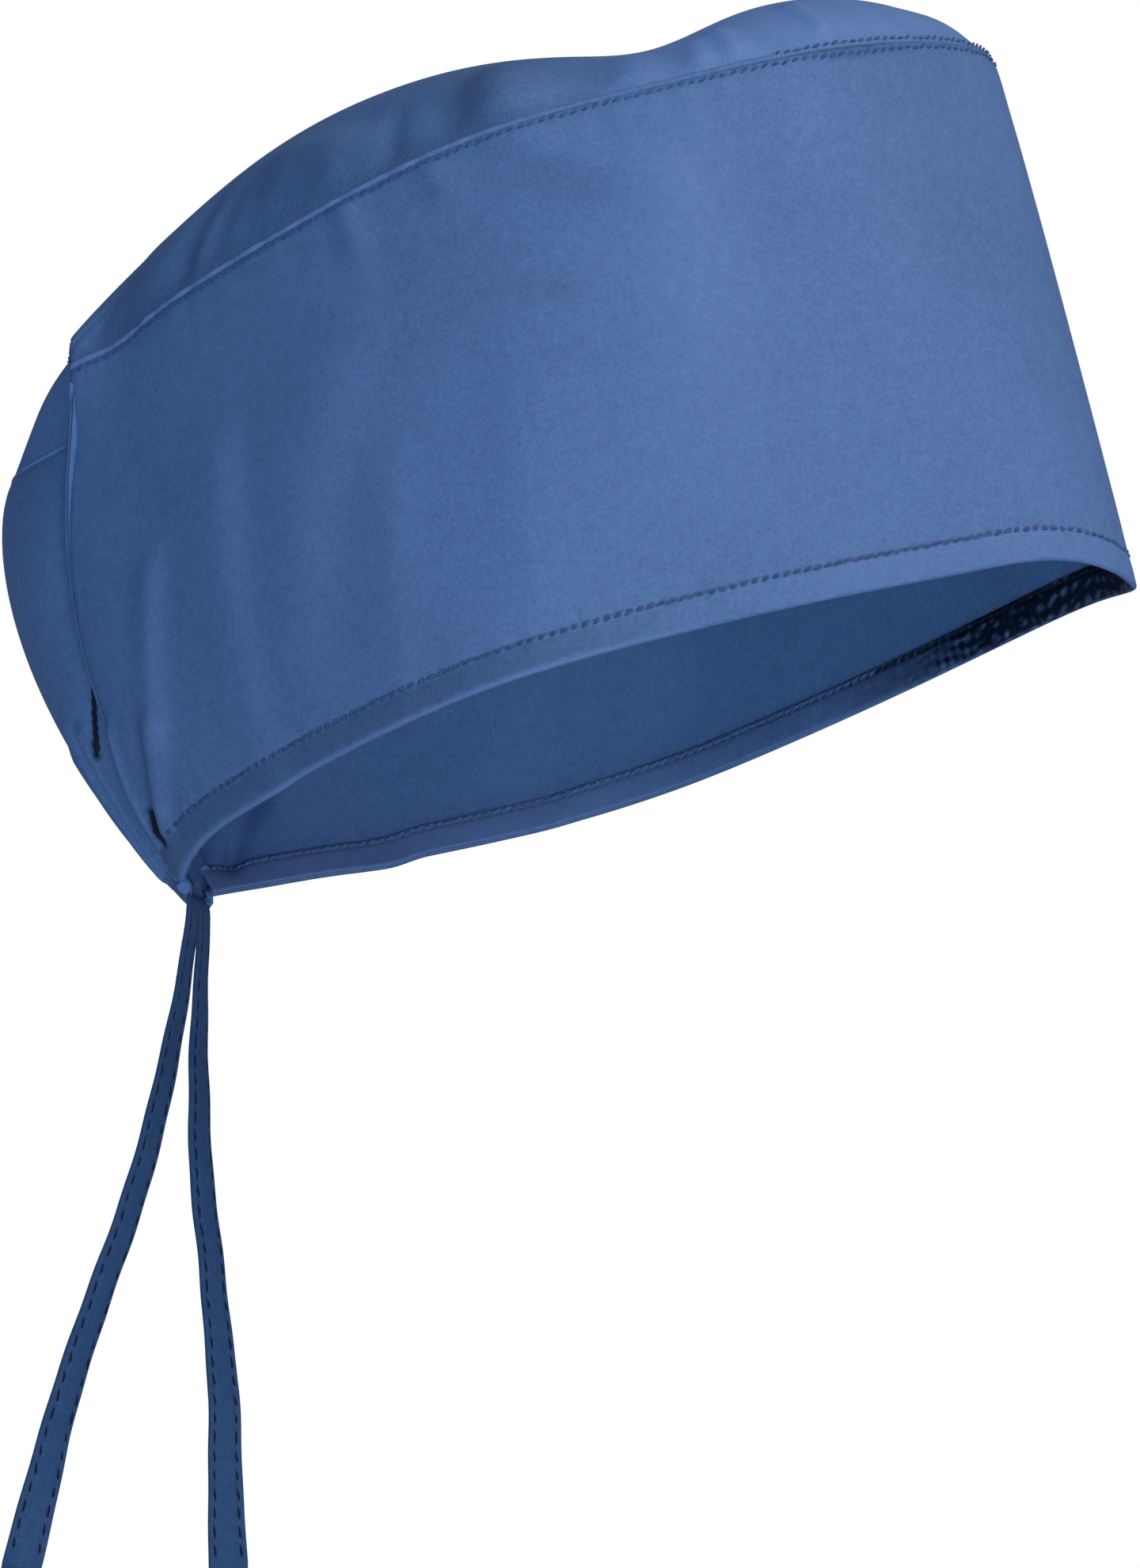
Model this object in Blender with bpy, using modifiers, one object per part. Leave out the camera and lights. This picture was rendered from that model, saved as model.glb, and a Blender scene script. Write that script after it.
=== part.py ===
"""Scrub cap in worn form: an oval crown on a side band, a turned-up hem and two flat ties.

Metres, +Z up. The cap faces -Y and the wearer's right is -X. The origin is the middle of the rim opening,
where a head carries the cap. The cap is first worked out upright, in three directions of its own:
fore (towards the forehead), side (away from the middle plane) and lift (away from the rim). Then it is
leaned back by RIM_TILT, as it sits on a head.
"""

import math

import bpy
import numpy as np

# Rim, the opening for the head
RIM_LENGTH = 0.224
RIM_WIDTH = 0.154
RIM_TILT = math.radians(15.6)

# Side band
BAND_HEIGHT = 0.124
CLOTH = 0.0012
BACK_BELLY = 0.015
SIDE_BELLY = 0.0085

# Crown seam, where the band meets the crown
SEAM_LENGTH = 0.238
SEAM_WIDTH = 0.153
SEAM_SETBACK = 0.0055
SEAM_RIDGE = 0.0007
SEAM_GAP = 0.0004

# Crown
CROWN_RISE = 0.0455
CROWN_FULLNESS = 0.62
CROWN_MIDDLE_FORE = 0.012

# Turned-up hem
HEM_HEIGHT = 0.0075
HEM_CLOTH = 0.0010
HEM_GAP = 0.0004
HEM_SETBACK = 0.0004
HEM_STOPS_AT = 0.835

# Ties
TIE_WIDTH = 0.009
TIE_THICKNESS = 0.0016
TIE_POINT_SPACING = 0.005
TIE_START_TURN = 85

# Rows of cells round half the cap, up the band and over the crown
BAND_COLUMNS = 72
BAND_ROWS = 8
CROWN_COLUMNS = 48
CROWN_RINGS = 8
CROWN_EDGE_READINGS = 400
SLOPE_STEP = 0.001

# The half strip from the middle of the front to the middle of the back. Rows 10 to 12 are the deep pleat:
# its outer edge, its inner turn, and where the back panel comes out from under it.
# along: share of the half strip. rim_fore, seam_fore: share of half the rim's or the seam's length.
# rim_side, seam_side: share of half its width. rim_lift, seam_lift: share of the band's height.
# belly_fore, belly_side: share of BACK_BELLY and SIDE_BELLY. belly_at: share of the height where it is fullest.
STRIP_COLUMNS = ("along", "rim_fore", "rim_side", "rim_lift", "seam_fore", "seam_side", "seam_lift",
                 "belly_fore", "belly_side", "belly_at")
STRIP_ROWS = (
    (0.000, 1.000, 0.000, 0.000, 1.000, 0.000, 1.008, 0.10, 0.00, 0.80),
    (0.035, 0.982, 0.150, 0.012, 0.983, 0.183, 1.005, 0.09, 0.06, 0.80),
    (0.080, 0.915, 0.305, 0.034, 0.924, 0.392, 1.000, 0.08, 0.18, 0.75),
    (0.170, 0.732, 0.490, 0.043, 0.761, 0.706, 0.989, 0.07, 0.41, 0.60),
    (0.285, 0.464, 0.712, 0.041, 0.500, 0.882, 0.984, 0.04, 0.59, 0.50),
    (0.405, 0.152, 0.906, 0.036, 0.189, 1.000, 0.981, 0.00, 0.71, 0.48),
    (0.520, -0.161, 0.994, 0.030, -0.088, 0.948, 0.968, -0.03, 0.82, 0.46),
    (0.635, -0.473, 0.851, 0.022, -0.357, 0.804, 0.945, -0.20, 0.94, 0.44),
    (0.745, -0.741, 0.584, 0.015, -0.592, 0.627, 0.918, -0.47, 1.00, 0.44),
    (0.815, -0.902, 0.338, 0.002, -0.710, 0.542, 0.900, -0.75, 1.00, 0.46),
    (0.855, -0.970, 0.150, -0.014, -0.769, 0.497, 0.889, -0.84, 1.00, 0.49),
    (0.890, -0.972, 0.118, -0.028, -0.702, 0.444, 0.831, -0.84, 0.82, 0.51),
    (0.925, -0.977, 0.086, -0.038, -0.811, 0.405, 0.786, -0.92, 0.71, 0.53),
    (0.962, -0.984, 0.046, -0.043, -0.937, 0.235, 0.794, -0.88, 0.35, 0.56),
    (1.000, -0.987, 0.000, -0.044, -1.000, 0.000, 0.802, -0.84, 0.00, 0.58),
)
PLEAT_OUTER_EDGE = 0.855
PLEAT_COMES_OUT = 0.925

# The crown's line over the middle of the head, with its two low lobes and the dip between them.
# fore: share of half the seam's length. rise: share of CROWN_RISE, above the straight line from the seam's
# front to its back.
CROWN_LINE_COLUMNS = ("fore", "rise")
CROWN_LINE = (
    (-1.000, 0.000), (-0.954, 0.125), (-0.887, 0.330), (-0.803, 0.490), (-0.693, 0.655), (-0.534, 0.810),
    (-0.399, 0.915), (-0.223, 0.985), (-0.063, 0.970), (0.130, 0.865), (0.298, 0.695), (0.441, 0.560),
    (0.584, 0.590), (0.735, 0.535), (0.819, 0.440), (0.903, 0.300), (0.970, 0.130), (1.000, 0.000),
)

# The two ties hang from the nape. Each row is a point of the route, in metres from where the tie leaves the
# hem: out from the middle plane, back, and down. turn is how far the tape has turned there, in degrees, from
# lying side to side. TIE_START_TURN is what lays it side to side at the top, in degrees.
TIE_COLUMNS = ("out", "back", "down", "turn")
NEAR_TIE_ROUTE = (
    (0.0000, 0.0000, 0.000, 0), (0.0000, 0.0003, 0.007, 2), (0.0004, 0.0010, 0.017, 6),
    (0.0010, 0.0024, 0.027, 12), (0.0018, 0.0052, 0.040, 15), (0.0028, 0.0088, 0.053, 19),
    (0.0038, 0.0126, 0.066, 24), (0.0048, 0.0170, 0.080, 28), (0.0056, 0.0218, 0.094, 30),
    (0.0064, 0.0264, 0.108, 34), (0.0070, 0.0302, 0.121, 42), (0.0074, 0.0338, 0.135, 50),
    (0.0076, 0.0376, 0.151, 68),
)
FAR_TIE_ROUTE = (
    (0.0000, 0.0000, 0.000, 0), (0.0000, 0.0003, 0.007, 4), (0.0002, 0.0010, 0.017, 8),
    (0.0006, 0.0014, 0.027, 11), (0.0012, 0.0013, 0.040, 16), (0.0018, 0.0012, 0.053, 20),
    (0.0024, 0.0004, 0.066, 24), (0.0030, -0.0014, 0.080, 27), (0.0034, -0.0030, 0.094, 30),
    (0.0038, -0.0044, 0.108, 34), (0.0040, -0.0050, 0.121, 38), (0.0042, -0.0050, 0.135, 46),
    (0.0044, -0.0056, 0.151, 64),
)
TIE_EXIT_SIDE = 0.0049
TIE_EXIT_FORE = 0.0056
TIE_EXIT_LIFT = -0.0030

COLLECTION_NAME = "scrub_cap"


def clear_scene():
    """Removes every object of the scene, so that the script can be run again."""
    for old in list(bpy.data.objects):
        bpy.data.objects.remove(old, do_unlink=True)


def cloth_material(name, colour, roughness):
    """A plain woven cotton finish."""
    material = bpy.data.materials.new(name)
    material.use_nodes = True
    shader = material.node_tree.nodes["Principled BSDF"]
    shader.inputs["Base Color"].default_value = (*colour, 1.0)
    shader.inputs["Roughness"].default_value = roughness
    shader.inputs["Metallic"].default_value = 0.0
    return material


def smooth_through(knots, values, at, flat_ends=True):
    """A natural cubic curve through the rows of a table. flat_ends makes its slope nought at both ends,
    as a size that mirrors across the middle plane needs."""
    knots, values = np.asarray(knots, float), np.asarray(values, float)
    last = len(knots) - 1
    step = np.diff(knots)
    slope = np.diff(values) / step
    system = np.zeros((last + 1, last + 1))
    right = np.zeros(last + 1)
    for i in range(1, last):
        system[i, i - 1], system[i, i], system[i, i + 1] = step[i - 1], 2 * (step[i - 1] + step[i]), step[i]
        right[i] = 6 * (slope[i] - slope[i - 1])
    system[0, 0] = system[last, last] = 1.0
    if flat_ends:
        system[0, 0], system[0, 1], right[0] = 2 * step[0], step[0], 6 * slope[0]
        system[last, last], system[last, last - 1], right[last] = 2 * step[-1], step[-1], -6 * slope[-1]
    bend = np.linalg.solve(system, right)
    i = np.clip(np.searchsorted(knots, at) - 1, 0, last - 1)
    before, after, width = at - knots[i], knots[i + 1] - at, step[i]
    return (
        (bend[i] * after**3 + bend[i + 1] * before**3) / (6 * width)
        + (values[i + 1] / width - bend[i + 1] * width / 6) * before
        + (values[i] / width - bend[i] * width / 6) * after
    )


def column_of(rows, names, name):
    """The numbers of one named column of a table."""
    return np.array(rows)[:, names.index(name)]


def strip(column, along):
    """One column of the strip's table, read at shares of the half strip."""
    return smooth_through(
        column_of(STRIP_ROWS, STRIP_COLUMNS, "along"), column_of(STRIP_ROWS, STRIP_COLUMNS, column),
        along, flat_ends=not column.endswith("_side"),
    )


def belly(height, fullest):
    """A rise from nought at the rim and the seam to one at the height where the band is fullest."""
    low = np.where(fullest < 0.5, fullest / (1 - fullest), 1.0)
    high = np.where(fullest < 0.5, 1.0, (1 - fullest) / fullest)
    return height**low * (1 - height) ** high / (fullest**low * (1 - fullest) ** high)


def rim_line(along):
    """Fore, side and lift of the rim, for the half on the side of along's sign."""
    half, sign = np.abs(along), np.where(along < 0, -1.0, 1.0)
    return (
        strip("rim_fore", half) * RIM_LENGTH / 2,
        sign * strip("rim_side", half) * RIM_WIDTH / 2,
        strip("rim_lift", half) * BAND_HEIGHT,
    )


def seam_line(along):
    """Fore, side and lift of the seam between band and crown."""
    half, sign = np.abs(along), np.where(along < 0, -1.0, 1.0)
    return (
        strip("seam_fore", half) * SEAM_LENGTH / 2 - SEAM_SETBACK,
        sign * strip("seam_side", half) * SEAM_WIDTH / 2,
        strip("seam_lift", half) * BAND_HEIGHT,
    )


def band_surface(along, height):
    """The band's outer face: straight from rim to seam, then pushed out by its belly."""
    half, sign = np.abs(along), np.where(along < 0, -1.0, 1.0)
    full = belly(height, strip("belly_at", half))
    rim, seam = rim_line(along), seam_line(along)
    fore = rim[0] + (seam[0] - rim[0]) * height + strip("belly_fore", half) * BACK_BELLY * full
    side = rim[1] + (seam[1] - rim[1]) * height + sign * strip("belly_side", half) * SIDE_BELLY * full
    return fore, side, rim[2] + (seam[2] - rim[2]) * height


def inside_band(along, height, depth):
    """The face that lies a depth inside the band's outer face, measured square to it."""
    low, high = np.clip(height - SLOPE_STEP, 0, 1), np.clip(height + SLOPE_STEP, 0, 1)
    before, after = band_surface(along - SLOPE_STEP, height), band_surface(along + SLOPE_STEP, height)
    round_it = np.stack(after) - np.stack(before)
    up_it = np.stack(band_surface(along, high)) - np.stack(band_surface(along, low))
    inwards = np.cross(up_it, round_it, axis=0)
    return np.stack(band_surface(along, height)) + depth * inwards / np.linalg.norm(inwards, axis=0)


def crown_edge(along):
    """The seam without the pleat's inner turn: the crown goes straight from its outer edge to the back panel."""
    half, sign = np.abs(along), np.where(along < 0, -1.0, 1.0)
    before, after = seam_line(np.full(1, PLEAT_OUTER_EDGE)), seam_line(np.full(1, PLEAT_COMES_OUT))
    share = np.clip((half - PLEAT_OUTER_EDGE) / (PLEAT_COMES_OUT - PLEAT_OUTER_EDGE), 0, 1)
    inside = (half > PLEAT_OUTER_EDGE) & (half < PLEAT_COMES_OUT)
    edge = seam_line(half)
    fore, side, lift = (np.where(inside, b + (a - b) * share, e) for b, a, e in zip(before, after, edge))
    return fore, sign * side, lift


def crown_lift(fore, side):
    """Height of the crown over a point: the middle line's height, falling to the seam on each side."""
    edge = crown_edge(np.linspace(0, 1, CROWN_EDGE_READINGS))
    order = np.argsort(edge[0])
    half_width = np.interp(fore, edge[0][order], edge[1][order])
    edge_lift = np.interp(fore, edge[0][order], edge[2][order])
    front, back = edge[2][0], edge[2][-1]
    place = np.clip((fore + SEAM_SETBACK) / (SEAM_LENGTH / 2), -1, 1)
    rise = smooth_through(
        column_of(CROWN_LINE, CROWN_LINE_COLUMNS, "fore"), column_of(CROWN_LINE, CROWN_LINE_COLUMNS, "rise"),
        place, flat_ends=False,
    )
    middle = back + (front - back) * (place + 1) / 2 + CROWN_RISE * rise
    across = np.clip(np.abs(side) / np.maximum(half_width, SEAM_RIDGE), 0, 1)
    return edge_lift + (middle - edge_lift) * (1 - across**2) ** CROWN_FULLNESS


def crown_surface(along, reach):
    """The crown's upper face, reach going from nought at its middle to one at the seam."""
    fore_edge, side_edge, lift_edge = crown_edge(along)
    fore = CROWN_MIDDLE_FORE + (fore_edge - CROWN_MIDDLE_FORE) * reach
    side = side_edge * reach
    return fore, side, np.maximum(crown_lift(fore, side), lift_edge * (reach >= 1))


def leaned(fore, side, lift):
    """Points in the row's own frame: the upright cap leaned back about the X axis."""
    return np.stack(
        [-side, -fore * math.cos(RIM_TILT) + lift * math.sin(RIM_TILT),
         fore * math.sin(RIM_TILT) + lift * math.cos(RIM_TILT)],
        axis=-1,
    )


def quads(rows, columns, closed):
    """Corner numbers of the cells of a grid, whose last column joins the first when closed."""
    row, column = np.meshgrid(np.arange(rows - 1), np.arange(columns - (not closed)), indexing="ij")
    beside = (column + 1) % columns
    cells = [row * columns + column, (row + 1) * columns + column, (row + 1) * columns + beside,
             row * columns + beside]
    return np.stack(cells, axis=-1).reshape(-1, 4)


def add_mesh(name, points, faces, material):
    """A smooth-shaded object from points and faces."""
    mesh = bpy.data.meshes.new(name)
    mesh.from_pydata(points.tolist(), [], [list(map(int, face)) for face in faces])
    mesh.materials.append(material)
    mesh.shade_smooth()
    obj = bpy.data.objects.new(name, mesh)
    bpy.data.collections[COLLECTION_NAME].objects.link(obj)
    return obj


def thicken(obj, thickness):
    """Gives an open surface its cloth thickness, inwards from the face that shows."""
    wall = obj.modifiers.new("cloth", "SOLIDIFY")
    wall.thickness = thickness
    wall.offset = -1.0
    wall.use_rim = True


def round_the_cap(columns):
    """Shares of the strip all the way round, from one side of the back to the other, each place once."""
    half = np.linspace(0, 1, columns + 1)
    return np.concatenate([-half[::-1][:-1], half[:-1]])


def make_side_band(material):
    """The long strip that goes round the head, with a deep pleat on each side of the back."""
    hem = HEM_HEIGHT / BAND_HEIGHT
    heights = np.concatenate([[0, hem / 2], np.linspace(hem, 1, BAND_ROWS)])
    along, height = np.meshgrid(round_the_cap(BAND_COLUMNS), heights)
    points = leaned(*band_surface(along, height)).reshape(-1, 3)
    band = add_mesh("side_band", points, quads(len(heights), 2 * BAND_COLUMNS, closed=True), material)
    thicken(band, CLOTH)
    return band


def make_crown(material):
    """The oval top panel, whose edge stands on the band and juts out as the seam's narrow ridge."""
    around = round_the_cap(CROWN_COLUMNS)
    reach = np.sin(np.linspace(0, math.pi / 2, CROWN_RINGS + 1)[1:])
    along, reaches = np.meshgrid(around, reach[::-1])
    fore, side, lift = crown_surface(along, reaches)
    edge_fore, edge_side, edge_lift = crown_edge(around)
    away = np.hypot(edge_fore - CROWN_MIDDLE_FORE, edge_side)
    out_fore = edge_fore + SEAM_RIDGE * (edge_fore - CROWN_MIDDLE_FORE) / away
    out_side = edge_side + SEAM_RIDGE * edge_side / away
    fore[0], side[0], lift[0] = edge_fore, edge_side, edge_lift + SEAM_GAP
    ridge = [np.insert(grid, 1, row, axis=0) for grid, row in
             zip((fore, side, lift), (out_fore, out_side, edge_lift + SEAM_GAP + 2 * SEAM_RIDGE))]
    points = leaned(*ridge).reshape(-1, 3)
    middle = leaned(np.array([CROWN_MIDDLE_FORE]), np.zeros(1), crown_lift(np.array([CROWN_MIDDLE_FORE]), 0))
    rings, columns = ridge[0].shape
    faces = quads(rings, columns, closed=True).tolist()
    last = (rings - 1) * columns
    faces += [[last + (i + 1) % columns, last + i, rings * columns] for i in range(columns)]
    crown = add_mesh("crown", np.concatenate([points, middle]), faces, material)
    thicken(crown, CLOTH)
    return crown


def make_hem_casing(material):
    """The hem turned up inside the rim, open at the nape, where the ties leave it."""
    around = round_the_cap(BAND_COLUMNS)
    around = around[np.abs(around) <= HEM_STOPS_AT]
    along, height = np.meshgrid(around, np.array([HEM_SETBACK, HEM_HEIGHT / 2, HEM_HEIGHT]) / BAND_HEIGHT)
    points = leaned(*inside_band(along, height, CLOTH + HEM_GAP)).reshape(-1, 3)
    hem = add_mesh("hem_casing", points, quads(3, len(around), closed=False), material)
    thicken(hem, HEM_CLOTH)
    return hem


def evenly_spaced(route):
    """The route's columns at points about TIE_POINT_SPACING apart, on one smooth curve through its rows."""
    columns = [column_of(route, TIE_COLUMNS, name) for name in TIE_COLUMNS]
    moves = np.linalg.norm(np.diff(np.stack(columns[:-1]), axis=1), axis=0)
    length = np.concatenate([[0], np.cumsum(moves)])
    at = np.linspace(0, length[-1], int(round(length[-1] / TIE_POINT_SPACING)) + 1)
    return [smooth_through(length, column, at, flat_ends=False) for column in columns]


def make_tie(name, route, sign, material):
    """A flat tape that hangs from the nape, side to side at its top and turned fore and aft at its end."""
    out, back, down, turns = evenly_spaced(route)
    start = leaned(np.array(TIE_EXIT_FORE - RIM_LENGTH / 2), np.array(sign * TIE_EXIT_SIDE),
                   np.array(TIE_EXIT_LIFT))
    points = start + np.stack([-sign * out, back, -down], axis=-1)
    curve = bpy.data.curves.new(name, "CURVE")
    curve.dimensions = "3D"
    curve.twist_mode = "MINIMUM"
    curve.bevel_depth = TIE_THICKNESS / 2
    curve.extrude = (TIE_WIDTH - TIE_THICKNESS) / 2
    curve.bevel_resolution = 1
    curve.use_fill_caps = True
    line = curve.splines.new("POLY")
    line.points.add(len(points) - 1)
    for point, place, turn in zip(line.points, points, turns):
        point.co = (*place, 1.0)
        point.tilt = math.radians(TIE_START_TURN + turn)
    curve.materials.append(material)
    tie = bpy.data.objects.new(name, curve)
    bpy.data.collections[COLLECTION_NAME].objects.link(tie)
    return tie


def main():
    clear_scene()
    cap = bpy.data.collections.new(COLLECTION_NAME)
    bpy.context.scene.collection.children.link(cap)
    make_side_band(cloth_material("band_cloth", (0.067, 0.133, 0.310), 0.85))
    make_crown(cloth_material("crown_cloth", (0.060, 0.122, 0.290), 0.85))
    make_hem_casing(cloth_material("hem_cloth", (0.055, 0.112, 0.270), 0.85))
    tape = cloth_material("tie_cloth", (0.036, 0.080, 0.200), 0.80)
    make_tie("tie_right", NEAR_TIE_ROUTE, 1.0, tape)
    make_tie("tie_left", FAR_TIE_ROUTE, -1.0, tape)


main()
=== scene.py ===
# %% [markdown]
# # A scrub cap in worn form
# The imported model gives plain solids: a side band, a crown, a hem casing and two ties. This notebook dresses
# them as sewn cotton. It starts by loading the solids as a fixed frame, so that every piece of cloth made
# below lies exactly where its solid is.

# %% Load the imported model
import math

import bmesh
import bpy
import numpy as np
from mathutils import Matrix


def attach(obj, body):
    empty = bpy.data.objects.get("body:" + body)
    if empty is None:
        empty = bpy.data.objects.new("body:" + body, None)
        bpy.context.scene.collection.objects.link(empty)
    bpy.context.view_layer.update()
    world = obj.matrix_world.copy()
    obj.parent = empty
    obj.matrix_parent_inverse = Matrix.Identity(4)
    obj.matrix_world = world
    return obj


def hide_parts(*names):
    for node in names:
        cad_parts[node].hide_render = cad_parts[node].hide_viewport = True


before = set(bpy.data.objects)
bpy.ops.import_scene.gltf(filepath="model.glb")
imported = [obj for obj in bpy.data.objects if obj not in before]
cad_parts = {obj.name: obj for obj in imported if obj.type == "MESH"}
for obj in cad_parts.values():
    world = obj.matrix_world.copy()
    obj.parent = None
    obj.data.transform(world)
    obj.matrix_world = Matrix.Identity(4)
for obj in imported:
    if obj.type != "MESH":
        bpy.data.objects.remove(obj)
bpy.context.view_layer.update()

print("solids:", sorted(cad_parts))

# %% [markdown]
# ## The camera
# The cap is seen from its right side, a little from the front and from below, so that the view looks up into
# the rim. A long lens keeps its sides nearly parallel. The camera comes before the pieces, because the free
# ties are measured against what it sees.

# %% Camera
CAMERA_PLACE = (-1.9312, -0.3915, -0.3448)
CAMERA_RISE = math.radians(9.637)
CAMERA_HEADING = math.radians(-78.0)
LENS_MM = 285.7


def new_object(name, data):
    """An object at the origin, linked into the scene."""
    made = bpy.data.objects.new(name, data)
    bpy.context.scene.collection.objects.link(made)
    return made


def make_camera():
    """A long lens at the photograph's place, with no shift and no roll."""
    camera = new_object("camera", bpy.data.cameras.new("camera"))
    camera.data.sensor_fit = "HORIZONTAL"
    camera.data.sensor_width = 36.0
    camera.data.lens = LENS_MM
    camera.location = CAMERA_PLACE
    camera.rotation_euler = (math.pi / 2 + CAMERA_RISE, 0.0, CAMERA_HEADING)
    bpy.context.scene.camera = camera


make_camera()
print("camera:", LENS_MM, "mm lens")

# %% [markdown]
# ## Curves through tables, and meshes from grids
# A cap has no straight edges, so its shape is kept as short tables of shares with a smooth curve through
# them. One helper reads a table along a natural cubic curve. Others turn a grid of points into a mesh, with a
# flat layout of the cloth as its UV map, and give it a cloth's thickness.

# %% A smooth curve through the rows of a table
def smooth_through(knots, values, at, flat_ends=True):
    """A natural cubic: between two rows it is the cubic whose slope and bend meet those of its neighbours.
    flat_ends makes the slope nought at both ends, as a size that mirrors across the middle plane needs."""
    knots, values = np.asarray(knots, float), np.asarray(values, float)
    last = len(knots) - 1
    step = np.diff(knots)
    slope = np.diff(values) / step
    inner = np.arange(1, last)
    system, right = np.zeros((last + 1, last + 1)), np.zeros(last + 1)
    system[inner, inner - 1], system[inner, inner], system[inner, inner + 1] = (
        step[:-1], 2 * (step[:-1] + step[1:]), step[1:])
    right[inner] = 6 * np.diff(slope)
    system[0, 0] = system[last, last] = 1.0
    if flat_ends:
        system[0, :2], right[0] = (2 * step[0], step[0]), 6 * slope[0]
        system[last, -2:], right[last] = (step[-1], 2 * step[-1]), -6 * slope[-1]
    bend = np.linalg.solve(system, right)
    i = np.clip(np.searchsorted(knots, at) - 1, 0, last - 1)
    before, after, width = at - knots[i], knots[i + 1] - at, step[i]
    return ((bend[i] * after**3 + bend[i + 1] * before**3) / (6 * width)
            + (values[i + 1] / width - bend[i + 1] * width / 6) * before
            + (values[i] / width - bend[i] * width / 6) * after)


def table(names, rows):
    """A table's columns by their names, each as an array of numbers."""
    return dict(zip(names, np.array(rows, float).T))


def unit(vectors):
    """The same directions with a length of one."""
    return vectors / np.linalg.norm(vectors, axis=-1, keepdims=True)


def bell(distance, width):
    """One at no distance, falling to nought on both sides as a bell curve."""
    return np.exp(-(distance / width) ** 2)


def ramp(value, start, end):
    """Nought up to the start, one from the end on, and an even rise between."""
    return np.clip((value - start) / (end - start), 0, 1)


# %% A mesh from a grid of points
def grid_faces(rows, columns, closed=False):
    """Corner numbers of a grid's cells, and the same with the last column not joined to the first."""
    row, col = np.meshgrid(np.arange(rows - 1), np.arange(columns - (not closed)), indexing="ij")
    corners = ((row, col), (row + 1, col), (row + 1, col + 1), (row, col + 1))
    faces = np.stack([r * columns + c % columns for r, c in corners], axis=-1).reshape(-1, 4)
    flat = np.stack([r * (columns + 1) + c for r, c in corners], axis=-1).reshape(-1, 4)
    return faces, flat


def make_piece(name, points, faces, material, flat=None, flat_faces=None, shade=None):
    """A smooth-shaded object at the origin. flat is each corner's place on the flat cloth, in metres, and
    shade a number for each point that the material reads."""
    mesh = bpy.data.meshes.new(name)
    faces = faces.tolist() if hasattr(faces, "tolist") else faces
    mesh.from_pydata(points.reshape(-1, 3).tolist(), [], faces)
    if flat is not None:
        layer = mesh.uv_layers.new(name="flat")
        layer.data.foreach_set("uv", flat.reshape(-1, 2)[flat_faces.ravel()].ravel())
    if shade is not None:
        mesh.attributes.new("shade", "FLOAT", "POINT").data.foreach_set("value", shade.ravel())
    mesh.materials.append(material)
    mesh.shade_smooth()
    return new_object(name, mesh)


def give_wall(piece, thickness, offset=-1.0, inner_face=None):
    """Cloth thickness, inwards from the surface at offset minus one and outwards at one. The added face may
    have a finish of its own."""
    wall = piece.modifiers.new("cloth", "SOLIDIFY")
    wall.thickness = thickness
    wall.offset = offset
    wall.use_rim = True
    if inner_face is not None:
        piece.data.materials.append(inner_face)
        wall.material_offset = 1


# %% [markdown]
# ## Shader arithmetic
# A woven finish is mostly arithmetic on coordinates. One small class wraps a socket, so that a pattern can
# be written as an expression, and one method adds every other node with its settings and inputs.

# %% Sockets as numbers
class Wire:
    """One output socket. Sums, products and sines of wires and numbers add the Math nodes that they need."""

    def __init__(self, tree, socket):
        self.tree, self.socket = tree, socket

    def add(self, kind, settings=(), inputs=(), output=0):
        """Adds a node: its settings first, then its sockets' values or wires."""
        node = self.tree.nodes.new(kind)
        for name, value in dict(settings).items():
            setattr(node, name, value)
        for name, value in dict(inputs).items():
            if isinstance(value, Wire):
                self.tree.links.new(value.socket, node.inputs[name])
            else:
                node.inputs[name].default_value = value
        return Wire(self.tree, node.outputs[output])

    def math(self, operation, *values):
        return self.add("ShaderNodeMath", {"operation": operation}, enumerate(values))

    def __add__(self, other):
        return self.math("ADD", self, other)

    def __sub__(self, other):
        return self.math("SUBTRACT", self, other)

    def __rsub__(self, other):
        return self.math("SUBTRACT", other, self)

    def __mul__(self, other):
        return self.math("MULTIPLY", self, other)

    def __truediv__(self, other):
        return self.math("DIVIDE", self, other)

    def sine(self):
        return self.math("SINE", self)

    def clamped(self):
        return self.math("MINIMUM", self.math("MAXIMUM", self, 0.0), 1.0)

    def mixed(self, low, high):
        """The colour that lies this share of the way from low to high."""
        colours = {"Factor": self, 6: low, 7: high}
        return self.add("ShaderNodeMix", {"data_type": "RGBA"}, colours, output=2)

    def noise(self, scale, detail):
        """Noise at this place, between nought and one."""
        return self.add("ShaderNodeTexNoise", (), {"Vector": self, "Scale": scale, "Detail": detail})

    def bump(self, strength, distance):
        """A normal that makes this height look raised."""
        return self.add("ShaderNodeBump", (), {"Height": self, "Strength": strength, "Distance": distance})

    def feed(self, socket):
        self.tree.links.new(self.socket, socket)


def new_finish(name, roughness, gloss):
    """A material, the inputs of its Principled shader and a wire that expressions start from."""
    material = bpy.data.materials.new(name)
    material.use_nodes = True
    inputs = material.node_tree.nodes["Principled BSDF"].inputs
    inputs["Roughness"].default_value = roughness
    inputs["Specular IOR Level"].default_value = gloss
    return material, inputs, Wire(material.node_tree, None)
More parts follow.
